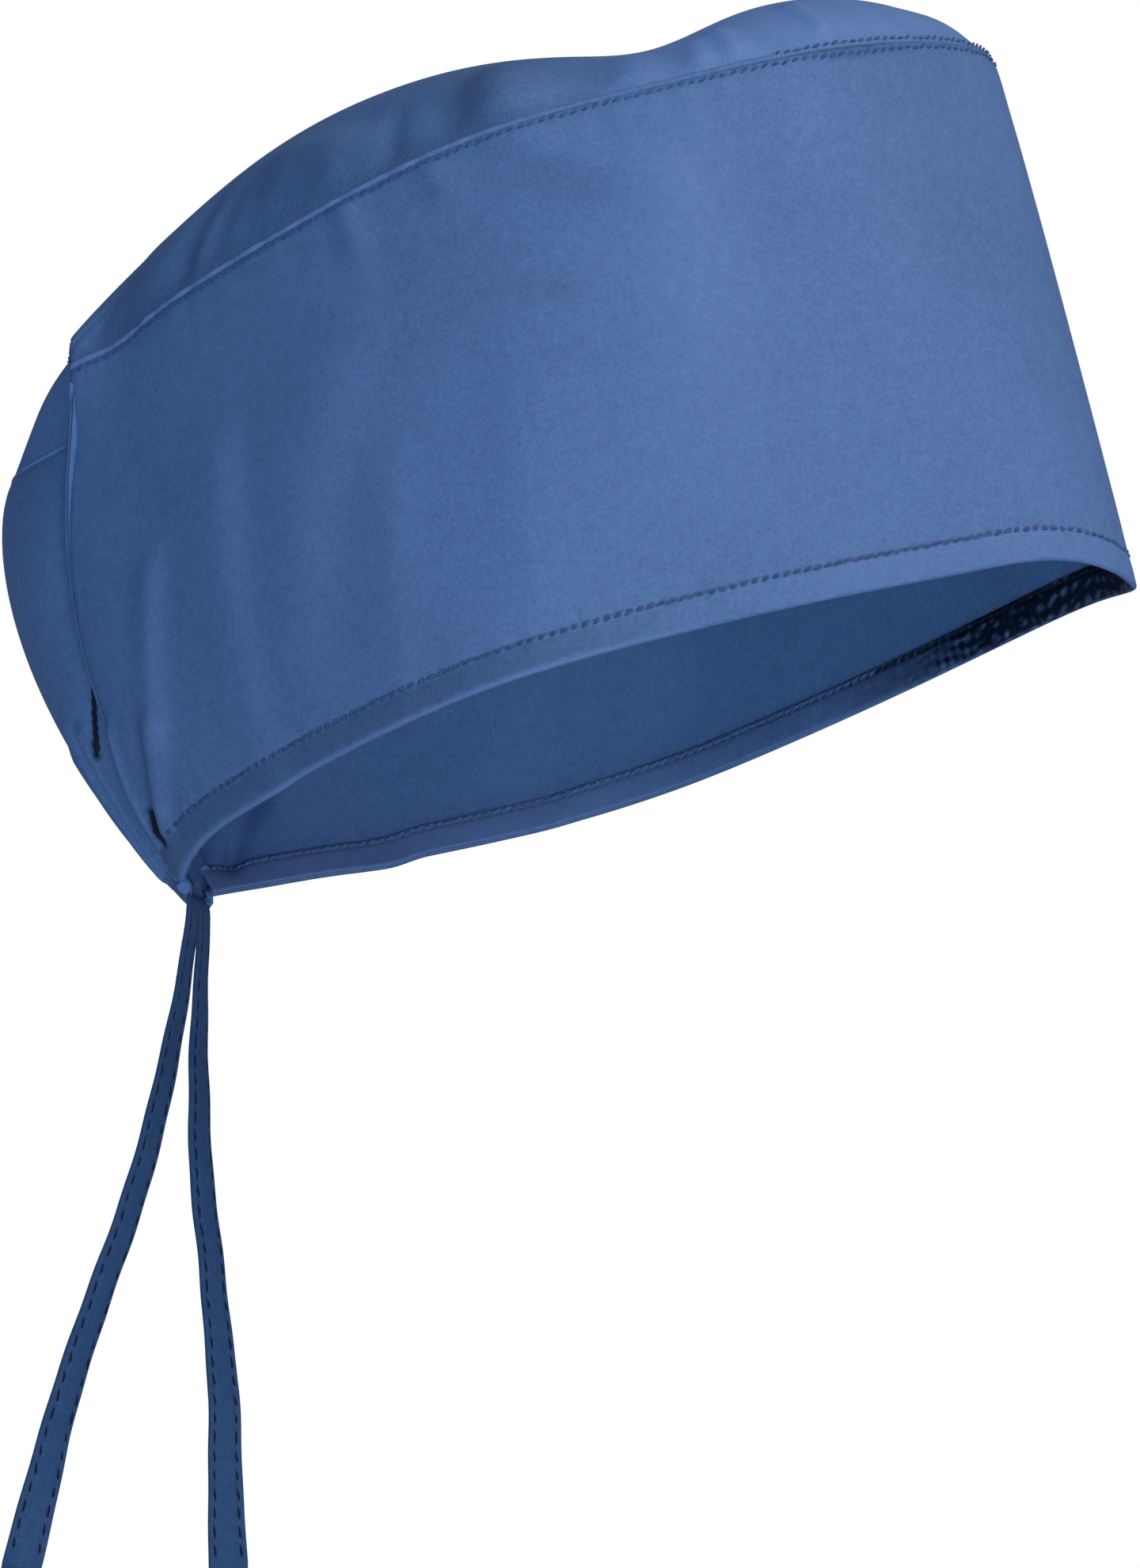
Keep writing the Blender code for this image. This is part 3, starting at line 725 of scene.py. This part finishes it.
def make_band():
    """The outer face row by row, then a half circle round the hem's fold, then a short way up the inside."""
    around = band_columns()[:-1]
    along, height = np.meshgrid(around, band_rows())
    face = band_face(along, height)
    low = np.full_like(around, HEM_ROLL / BAND_HEIGHT)
    out = outward(around, low)
    down = unit(band_face(around, low) - band_face(around, low + 0.01))
    middle = face[-1] - HEM_ROLL * out
    angle = np.linspace(0, math.pi, HEM_ROLL_ROWS)[1:, None, None]
    roll = middle + HEM_ROLL * (np.cos(angle) * out + np.sin(angle) * down)
    inside = roll[-1] - np.linspace(0, TURNED_UP, 3)[1:, None, None] * down
    points = np.concatenate([face, roll, inside])
    rows = len(points)
    under = -np.arange(1, rows - len(height) + 1) * HEM_ROLL * 0.6
    lay = np.concatenate([height[:, 0] * BAND_HEIGHT, under])
    flat = np.stack(np.meshgrid(band_columns() * STRIP_HALF, lay), axis=-1)
    shade = band_shade(*np.meshgrid(around, lay))
    # The inside of the roll also carries the hem's painted shade and painted lightening.
    turned = len(height) + HEM_ROLL_ROWS // 2
    shade[turned:] += 0.8 * hem_shade(*np.meshgrid(around, lay[turned:]))
    faces, flat_faces = grid_faces(rows, BAND_COLUMNS, closed=True)
    band = make_piece("side_band_cloth", points, faces[:, ::-1], band_cloth, flat, flat_faces[:, ::-1], shade)
    give_wall(band, CLOTH_THICKNESS, inner_face=band_wrong_side_painted_paler)
    return band


band = make_band()
print("side band:", len(band.data.polygons), "faces")

# %% [markdown]
# ## The hem casing
# Inside the rim the hem lies flat against the band, from the fold up to its row of stitches. It stops short
# of the nape, where the ties leave it.

# %% Hem mesh
HEM_STOPS_AT = 0.850
HEM_TOP = 0.0086
HEM_THICKNESS = 0.0006


def hem_face(along, height):
    """A face inside the band that bulges a little between the fold and the stitches, which pull it in."""
    upward = height * BAND_HEIGHT
    bulge = 0.0004 * np.sin(ramp(upward, 0, HEM_STITCH_HEIGHT) * math.pi)
    pull = 0.00045 * bell(upward - HEM_STITCH_HEIGHT, 0.0007)
    wave = 0.00022 * ripples(along * STRIP_HALF, *HEM_WAVES) * ramp(upward, 0, 0.003)
    return band_face(along, height, 2 * HEM_ROLL + 0.0001 + bulge - pull + wave)


def make_hem():
    """Rows from the fold up to just past the stitches, each with its bulge and its waves."""
    around = np.linspace(-HEM_STOPS_AT, HEM_STOPS_AT, 420)
    heights = np.concatenate([[0.0004], np.linspace(0.0012, HEM_TOP, 16)]) / BAND_HEIGHT
    along, height = np.meshgrid(around, heights)
    points = hem_face(along, height)
    flat = np.stack(np.meshgrid(np.append(around, around[-1]) * STRIP_HALF, heights * BAND_HEIGHT), axis=-1)
    faces, flat_faces = grid_faces(len(heights), len(around))
    # The hem's shade is painted light: painted shade at the front, painted lightening further back.
    shade = hem_shade(along, height * BAND_HEIGHT)
    hem = make_piece("hem_casing_cloth", points, faces, hem_cloth, flat, flat_faces, shade)
    give_wall(hem, HEM_THICKNESS, offset=1.0)
    return hem


hem = make_hem()
print("hem casing:", len(hem.data.polygons), "faces")

# %% [markdown]
# ## The crown
# The crown is an oval panel, wider at the back, eased into the band. It stands in two low lobes with a dip
# between them, and its fullness makes short tucks along the seam.

# %% Crown surface
CROWN_RISE = 0.0455
CROWN_FULLNESS = 0.62
CROWN_MIDDLE_FORE = 0.012
CROWN_LINE_COLUMNS = ("fore", "rise")
CROWN_LINE = (
    (-1.000, 0.000), (-0.954, 0.125), (-0.887, 0.330), (-0.803, 0.490), (-0.693, 0.655), (-0.534, 0.810),
    (-0.399, 0.915), (-0.223, 0.985), (-0.063, 0.970), (0.130, 0.865), (0.298, 0.695), (0.441, 0.560),
    (0.584, 0.590), (0.735, 0.535), (0.819, 0.440), (0.903, 0.300), (0.970, 0.130), (1.000, 0.000),
)
CROWN_FOLDS = (
    (0.0868, 0.0535, 0.0800, 0.0450, 0.0026, -0.0018),
    (0.0675, 0.0650, 0.0640, 0.0570, 0.0030, -0.0015),
    (0.0610, 0.0670, 0.0590, 0.0600, 0.0028, -0.0013),
    (0.0460, 0.0690, 0.0450, 0.0620, 0.0055, -0.0013),
    (0.0320, 0.0740, 0.0300, 0.0640, 0.0065, 0.0012),
    (0.0150, 0.0790, 0.0160, 0.0715, 0.0090, -0.0036, 0.001, 0.3),
    (-0.0200, 0.0740, -0.0330, 0.0580, 0.0070, -0.0026, 0.002),
    (-0.0070, 0.0760, -0.0170, 0.0580, 0.0065, 0.0010),
    (-0.0665, 0.0530, -0.0590, 0.0430, 0.0048, 0.0019),
    (-0.0910, 0.0430, -0.0820, 0.0290, 0.0040, 0.0007),
)
# Painted light and shade on the crown, as fold rows in plan: dark patches are painted shade, pale streaks
# painted highlights.
CROWN_SHADES = (
    (0.0090, 0.0740, 0.0140, 0.0600, 0.0090, -0.20),
    (-0.0170, 0.0600, 0.0000, 0.0730, 0.0040, 0.10),
    (-0.0165, 0.0700, -0.0060, 0.0745, 0.0026, -0.10),
    (-0.0300, 0.0650, -0.0350, 0.0540, 0.0080, -0.07),
    (-0.0840, 0.0480, -0.0780, 0.0400, 0.0050, -0.08),
    (-0.0260, 0.0620, -0.0160, 0.0690, 0.0050, -0.11),
    (-0.1120, 0.0180, -0.1000, 0.0290, 0.0080, 0.40),
)
EDGE_READINGS = crown_edge(np.linspace(0, 1, 600))
EDGE_ORDER = np.argsort(EDGE_READINGS[0])


def crown_lift(fore, side):
    """Height over a point: the middle line's height, falling to the seam on each side as a power of a
    circle's height."""
    edge = [values[EDGE_ORDER] for values in EDGE_READINGS]
    half_width, edge_lift = np.interp(fore, edge[0], edge[1]), np.interp(fore, edge[0], edge[2])
    front, back = EDGE_READINGS[2][0], EDGE_READINGS[2][-1]
    place = np.clip((fore + SEAM_SETBACK) / (SEAM_LENGTH / 2), -1, 1)
    line = table(CROWN_LINE_COLUMNS, CROWN_LINE)
    rise = smooth_through(line["fore"], line["rise"], place, flat_ends=False)
    middle = back + (front - back) * (place + 1) / 2 + CROWN_RISE * rise
    across = np.clip(np.abs(side) / np.maximum(half_width, 0.0007), 0, 1)
    return edge_lift + (middle - edge_lift) * (1 - across**2) ** CROWN_FULLNESS


def crown_plan(along, reach):
    """Fore and side of a point a share of the way from the crown's middle to its seam."""
    fore, side, _ = crown_edge(along)
    return CROWN_MIDDLE_FORE + (fore - CROWN_MIDDLE_FORE) * reach, side * reach


def plain_crown(along, reach):
    """The crown with no folds."""
    fore, side = crown_plan(along, reach)
    lift = np.maximum(crown_lift(fore, side), crown_edge(along)[2] * (reach >= 1))
    return leaned(fore, side, lift)


def crown_relief(along, reach):
    """Folds by their place in plan, and tucks that run in from the seam and die away."""
    fore, side = crown_plan(along, reach)
    folds = folds_at(fore, side, CROWN_FOLDS) + folds_at(fore + 0.006, -side, CROWN_FOLDS)
    across = along * STRIP_HALF
    grouped = 0.5 + 0.5 * ripples(across, 29, 0.050, 0.120)
    tucks = 0.0007 * grouped * ripples(across, 11, 0.009, 0.034) * bell(1 - reach, 0.14)
    return (folds + tucks) * ramp(1 - reach, 0, 0.02) ** 0.7


def crown_shade(along, reach):
    """Painted shade just inside the seam, where the cloth turns under its stitches, painted light on the front
    lobe and painted shade behind it, and the painted patches of the table above.
    """
    fore, side = crown_plan(along, reach)
    patches = folds_at(fore, np.abs(side), CROWN_SHADES)
    paler = 0.45 * ramp(fore, 0.028, 0.058) - 0.07 * ramp(-fore, -0.030, -0.010)
    return patches + paler - 0.14 * bell(1 - reach, 0.016)


# %% Crown mesh
CROWN_COLUMNS = 400
CROWN_RINGS = 84


def ring_normals(points):
    """Unit normals of closed rings of points, by differences round each ring and from ring to ring."""
    round_it = np.roll(points, -1, axis=1) - np.roll(points, 1, axis=1)
    out = np.cross(round_it, np.gradient(points, axis=0))
    return out / np.maximum(np.linalg.norm(out, axis=-1, keepdims=True), 1e-12)


def make_crown():
    """Rings from the seam in to the middle, set off by the folds, and one point that closes the middle."""
    around = np.linspace(-1, 1, CROWN_COLUMNS + 1)[:-1]
    reach = np.sin(np.linspace(0, math.pi / 2, CROWN_RINGS + 1)[1:]) ** 0.9
    along, reaches = np.meshgrid(around, reach[::-1])
    base = plain_crown(along, reaches)
    points = base + crown_relief(along, reaches)[..., None] * ring_normals(base)
    middle = points[-1].mean(axis=0)
    fore, side = crown_plan(along, reaches)
    flat = np.stack([np.concatenate([part, part[:, :1]], axis=1) for part in (fore, side)], axis=-1)
    faces, flat_faces = grid_faces(CROWN_RINGS, CROWN_COLUMNS, closed=True)
    last = (CROWN_RINGS - 1) * CROWN_COLUMNS
    ring = np.arange(CROWN_COLUMNS)
    centre = np.full_like(ring, CROWN_RINGS * CROWN_COLUMNS)
    fan = np.stack([last + ring, centre, last + (ring + 1) % CROWN_COLUMNS], axis=-1)
    flat_fan = np.minimum(fan, last + CROWN_COLUMNS - 1) + CROWN_RINGS - 1
    crown = make_piece("crown_cloth", np.concatenate([points.reshape(-1, 3), middle[None]]),
                       faces.tolist() + fan.tolist(), crown_cloth, flat,
                       np.concatenate([flat_faces.ravel(), flat_fan.ravel()]),
                       np.append(crown_shade(along, reaches).ravel(), 0.0))
    give_wall(crown, CLOTH_THICKNESS)
    return crown


crown = make_crown()
print("crown:", len(crown.data.polygons), "faces")

# %% [markdown]
# ## The crown seam
# Band and crown are sewn right sides together, and the allowance is turned down and topstitched. It shows as
# a narrow round ridge with an uneven painted highlight, paler towards the back, with a row of stitches below
# it and one on it round the front.

# %% Ridge mesh
RIDGE_RADIUS = 0.0007
RIDGE_PALE_FROM, RIDGE_PALE_TO = 0.36, 0.52


def once_round(along):
    """A place past the middle of the back, as the share of the strip's other half."""
    return np.where(along > 1, along - 2, along)


def make_ridge(name, start, end, count):
    """A round roll along the seam, thinner at its two ends."""
    around = np.linspace(start, end, count)
    line = leaned(*seam_line(once_round(around)))
    out = outward(once_round(around), np.full_like(around, 0.99))
    up = unit(np.cross(out, unit(np.gradient(line, axis=0))))
    turn = np.linspace(0, 2 * math.pi, 11)[:-1]
    ends = np.clip(np.minimum(np.arange(count), count - 1 - np.arange(count)) / 8, 0.05, 1)
    radius = RIDGE_RADIUS * ends * (1 + 0.12 * ripples(around * STRIP_HALF, 17, 0.004, 0.012))
    points = line[:, None] + radius[:, None, None] * (
        np.cos(turn)[None, :, None] * out[:, None] * 0.8 + np.sin(turn)[None, :, None] * up[:, None])
    faces, flat_faces = grid_faces(count, len(turn), closed=True)
    flat = np.stack(np.meshgrid(np.linspace(0, 0.005, len(turn) + 1), around * STRIP_HALF), axis=-1)
    # The ridge's shade is a painted highlight, paler towards the back and broken unevenly.
    pale = ramp(np.abs(around), RIDGE_PALE_FROM, RIDGE_PALE_TO)
    uneven_highlight = 0.80 + 0.45 * ripples(around * STRIP_HALF, 41, 0.003, 0.013)
    shade = np.repeat((0.10 + 0.50 * pale) * uneven_highlight, len(turn))
    ridge = make_piece(name, points, faces, crown_cloth, flat, flat_faces, shade)
    first = np.arange(len(turn))
    return close_ends(ridge, [first.tolist(), (first + (count - 1) * len(turn)).tolist()])


ridges = [make_ridge("crown_seam_ridge", -PLEAT_OUTER_EDGE - 0.012, PLEAT_OUTER_EDGE + 0.012, 520),
          make_ridge("back_seam_ridge", PLEAT_COMES_OUT - 0.008, 2 - PLEAT_COMES_OUT + 0.008, 90)]
print("seam ridge:", len(ridges[0].data.polygons), "faces")

# %% [markdown]
# ## Stitches
# Every row of stitches is real: short thread capsules, each a few dozen faces, that arch out of the cloth and
# dip into it at both ends. The hem has a row outside and a row inside, and each tie has four rows.

# %% Stitch rows
STITCH_LENGTH = 0.0020
STITCH_RADIUS = 0.00035
STITCH_ARCH = 0.00016
STITCH_SLANT = 0.00030
STITCH_RINGS = 7
STITCH_SIDES = 6
TAPE_STITCHES = {"pitch": 0.0042, "length": 0.0033, "radius": 0.00044, "arch": 0.00003}
HEM_STITCHED_TO = 0.82
HEM_STITCHED_INSIDE_TO = 0.84
DEEP_THREAD_TO = 0.31
SEAM_STITCHED_TO = 0.85
SEAM_STITCHES_BELOW = 0.0016
RIDGE_STITCHED_TO = 0.21
TAPE_STITCH_LIFT = 0.17
LINE_READINGS = 1500


def stitch_row(name, line, out, material, pitch=STITCH_PITCH, length=STITCH_LENGTH, radius=STITCH_RADIUS,
               arch=STITCH_ARCH):
    """Capsules at nearly even distances along a line, each a little longer, shorter or more slanting than the
    next. Each is thickest and highest at its middle."""
    distance = np.concatenate([[0], np.cumsum(np.linalg.norm(np.diff(line, axis=0), axis=1))])
    centres = np.arange(pitch / 2, distance[-1], pitch)
    random = np.random.default_rng(len(centres))
    lengths = length * random.uniform(0.80, 1.12, len(centres))
    slants = random.uniform(0.3, 1.7, len(centres))
    drift = random.normal(0.0, 0.00010, len(centres))
    share = np.linspace(-0.5, 0.5, STITCH_RINGS)
    at = centres[:, None] + share * lengths[:, None]

    def read(values):
        return np.stack([np.interp(at, distance, values[:, i]) for i in range(3)], axis=-1)

    place, up = read(line), unit(read(out))
    beside = unit(np.cross(up, np.gradient(place, axis=1)))
    place = place + beside * (share * 2 * STITCH_SLANT * slants[:, None] + drift[:, None])[..., None]
    swell = np.sqrt(np.clip(np.cos(share * math.pi * 0.96), 0.02, 1))
    turn = np.linspace(0, 2 * math.pi, STITCH_SIDES + 1)[:-1]
    ring = radius * swell[:, None]
    raised, spread = (arch * swell)[:, None] + ring * np.sin(turn), ring * np.cos(turn)
    points = place[:, :, None] + up[:, :, None] * raised[..., None] + beside[:, :, None] * spread[..., None]
    faces, _ = grid_faces(STITCH_RINGS, STITCH_SIDES, closed=True)
    first = np.arange(STITCH_SIDES)
    ends = np.array([first[::-1], first + (STITCH_RINGS - 1) * STITCH_SIDES])
    starts = np.arange(len(centres))[:, None, None] * STITCH_RINGS * STITCH_SIDES
    sides, caps = (faces + starts).reshape(-1, 4), (ends + starts).reshape(-1, STITCH_SIDES)
    return make_piece(name, points, [face[::-1] for face in sides.tolist() + caps.tolist()], material)


def band_row(name, height, reach):
    """A row of stitches on the band, at one height and equally far round on both sides."""
    along = np.linspace(-reach, reach, 2 * LINE_READINGS)
    heights = np.full_like(along, height)
    return stitch_row(name, band_face(along, heights), outward(along, heights), dark_thread)


def tape_rows(name, line, turn, soft_phase):
    """Both long edges of a tape are stitched through, so each has a row on the front and one on the back."""
    wide, square = turned_directions(line, turn)
    along = np.arange(len(line)) / (len(line) - 1)
    rows = []
    for edge in (-TAPE_STITCH_LINE, TAPE_STITCH_LINE):
        for side in (-1, 1):
            beside = edge * TIE_WIDTH / 2
            off = tape_softness(along, beside, soft_phase) + side * TIE_THICKNESS * TAPE_STITCH_LIFT
            place = line + wide * beside + square * off[:, None]
            rows.append(stitch_row(f"{name}_stitches_{len(rows) + 1}", place[3:-2], (side * square)[3:-2],
                                   tape_thread, **TAPE_STITCHES))
    return rows


def hem_rows(height):
    """The inside of the hem's stitch row, in three lengths that differ in their thread: near black at
    the front as painted shade, and paler at the sides as a painted highlight.
    """
    rows = []
    for name, start, end, material in (("left", -HEM_STITCHED_INSIDE_TO, -DEEP_THREAD_TO, painted_highlight_thread),
                                       ("front", -DEEP_THREAD_TO, DEEP_THREAD_TO, tape_thread),
                                       ("right", DEEP_THREAD_TO, HEM_STITCHED_INSIDE_TO, painted_highlight_thread)):
        around = np.linspace(start, end, LINE_READINGS)
        heights = np.full_like(around, height)
        inward = -outward(around, heights)
        line = hem_face(around, heights) + HEM_THICKNESS * inward
        rows.append(stitch_row("hem_stitches_inside_" + name, line, inward, material))
    return rows


def ridge_row():
    """The row on top of the seam's ridge, round the front."""
    around = np.linspace(-RIDGE_STITCHED_TO, RIDGE_STITCHED_TO, LINE_READINGS)
    out = outward(around, np.full_like(around, 0.99))
    line = leaned(*seam_line(around)) + RIDGE_RADIUS * (0.5 * out + np.array([0.0, 0.0, 0.75]))
    return stitch_row("seam_ridge_stitches", line, out, dark_thread, arch=0.0001)


hem_height = HEM_STITCH_HEIGHT / BAND_HEIGHT
stitch_rows = [*tape_rows("tie_right", near_line, near_turn, NEAR_TIE_PHASE),
               *tape_rows("tie_left", far_line, far_turn, FAR_TIE_PHASE),
               band_row("hem_stitches", hem_height, HEM_STITCHED_TO), *hem_rows(hem_height), ridge_row(),
               band_row("seam_topstitches", 1 - SEAM_STITCHES_BELOW / BAND_HEIGHT, SEAM_STITCHED_TO)]
print("stitch rows:", len(stitch_rows))

# %% [markdown]
# ## Light, floor and background
# A plain white studio: a broad soft light from the front and above, a weaker one from the front, a third from
# just below the camera, and an even white surround. A pale floor lies far below the ties.

# %% Studio
FLOOR_HEIGHT = -0.75
FLOOR_HALF = 6.0
CAP_MIDDLE = (0.0, 0.0, 0.05)
LIGHTS = (
    ("key", (-0.70, -1.10, 1.25), 0.9, 19.0, (1.0, 0.89, 0.70)),
    ("front", (-1.00, -1.50, 0.30), 0.9, 7.0, (1.0, 0.50, 0.36)),
    ("fill", (-1.70, -0.45, -0.70), 0.8, 20.0, (0.90, 1.0, 0.93)),
)


def area_light(name, place, size, power, colour):
    """A square lamp at a place, turned to face the cap."""
    lamp = bpy.data.lights.new(name, "AREA")
    lamp.shape = "SQUARE"
    lamp.size = size
    lamp.energy = power
    lamp.color = colour
    holder = new_object(name, lamp)
    holder.location = place
    facing = np.array(CAP_MIDDLE) - np.array(place)
    flat = math.hypot(facing[0], facing[1])
    holder.rotation_euler = (math.atan2(flat, -facing[2]), 0.0, math.atan2(-facing[0], facing[1]))


def make_floor():
    """A wide plain plane."""
    mesh = bpy.data.meshes.new("floor")
    signs = ((-1, -1), (1, -1), (1, 1), (-1, 1))
    corners = [(x * FLOOR_HALF, y * FLOOR_HALF, FLOOR_HEIGHT) for x, y in signs]
    mesh.from_pydata(corners, [], [(0, 1, 2, 3)])
    pale, inputs, _ = new_finish("floor_pale", roughness=0.9, gloss=0.5)
    inputs["Base Color"].default_value = (0.86, 0.86, 0.86, 1.0)
    mesh.materials.append(pale)
    floor = new_object("floor", mesh)


def make_surround(seen, lighting):
    """A white world: full white to the camera, and dimmer and cooler as a light."""
    world = bpy.data.worlds.new("surround")
    bpy.context.scene.world = world
    world.use_nodes = True
    tree = world.node_tree
    background = tree.nodes["Background"]
    start = Wire(tree, None)
    to_camera = start.add("ShaderNodeLightPath")
    tree.links.new(to_camera.mixed(lighting, seen).socket, background.inputs["Color"])


for name, place, size, power, colour in LIGHTS:
    area_light(name, place, size, power, colour)
make_floor()
make_surround(seen=(1.0, 1.0, 1.0, 1.0), lighting=(0.20, 0.263, 0.335, 1.0))
bpy.context.scene.view_settings.view_transform = "Standard"
print("lights:", len(LIGHTS))

# %% [markdown]
# ## Attach the pieces
# Every piece rides on the one body, and five of them stand for the solids, which are hidden.

for piece in [tie_right, tie_left, band, hem, crown, *ridges, *stitch_rows]:
    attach(piece, "root")
for piece, node, slot in ((band, "side_band", "band_cloth"), (hem, "hem_casing", "hem_cloth"),
                          (crown, "crown", "crown_cloth"), (tie_right, "tie_right", "tie_cloth"),
                          (tie_left, "tie_left", "tie_cloth")):
    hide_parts(node)
